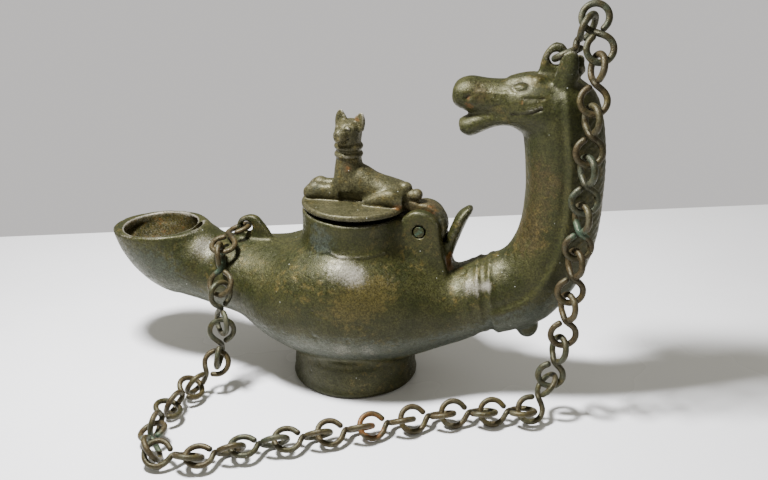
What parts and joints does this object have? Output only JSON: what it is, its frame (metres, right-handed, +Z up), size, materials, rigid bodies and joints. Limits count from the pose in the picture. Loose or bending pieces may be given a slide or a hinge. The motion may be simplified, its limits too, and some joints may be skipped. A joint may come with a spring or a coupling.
{
  "type": "oil lamp",
  "caption": "Bronze oil lamp with a wide upturned spout, a footed oil chamber, a hinged lid with a lying dog, a horse-head handle and a wire chain.",
  "frame": {"origin": "centre of the foot's flat underside", "axes": "+Z up, +X from the spout towards the handle, -Y towards the side the chain lies on"},
  "size_m": [0.1926, 0.1164, 0.1506],
  "materials": {
    "bronze_body": "cast bronze with a dark olive-green and brown patina, grey-blue below, satin",
    "bronze_lid": "cast bronze with an olive and brown patina, satin",
    "bronze_pin": "bronze pin with a greenish patina, satin",
    "bronze_chain": "bronze wire with a red-brown patina and green spots, satin"
  },
  "bodies": {
    "lamp": {"lamp_body": "bronze_body", "hinge_pin": "bronze_pin", "chain_link_01": "bronze_chain", "chain_link_02": "bronze_chain", "chain_link_03": "bronze_chain", "chain_link_04": "bronze_chain", "chain_link_05": "bronze_chain", "chain_link_06": "bronze_chain", "chain_link_07": "bronze_chain", "chain_link_08": "bronze_chain", "chain_link_09": "bronze_chain", "chain_link_10": "bronze_chain", "chain_link_11": "bronze_chain", "chain_link_12": "bronze_chain", "chain_link_13": "bronze_chain", "chain_link_14": "bronze_chain", "chain_link_15": "bronze_chain", "chain_link_16": "bronze_chain", "chain_link_17": "bronze_chain", "chain_link_18": "bronze_chain", "chain_link_19": "bronze_chain", "chain_link_20": "bronze_chain", "chain_link_21": "bronze_chain", "chain_link_22": "bronze_chain", "chain_link_23": "bronze_chain", "chain_link_24": "bronze_chain", "chain_link_25": "bronze_chain", "chain_link_26": "bronze_chain", "chain_link_27": "bronze_chain"},
    "lid": {"lid": "bronze_lid"}
  },
  "joints": [
    {"name": "lid_hinge", "type": "hinge", "parent": "lamp", "child": "lid", "pos_m": [0.027, 0, 0.0654], "axis": [0, 1, 0], "range_deg": [0, 42]}
  ]
}
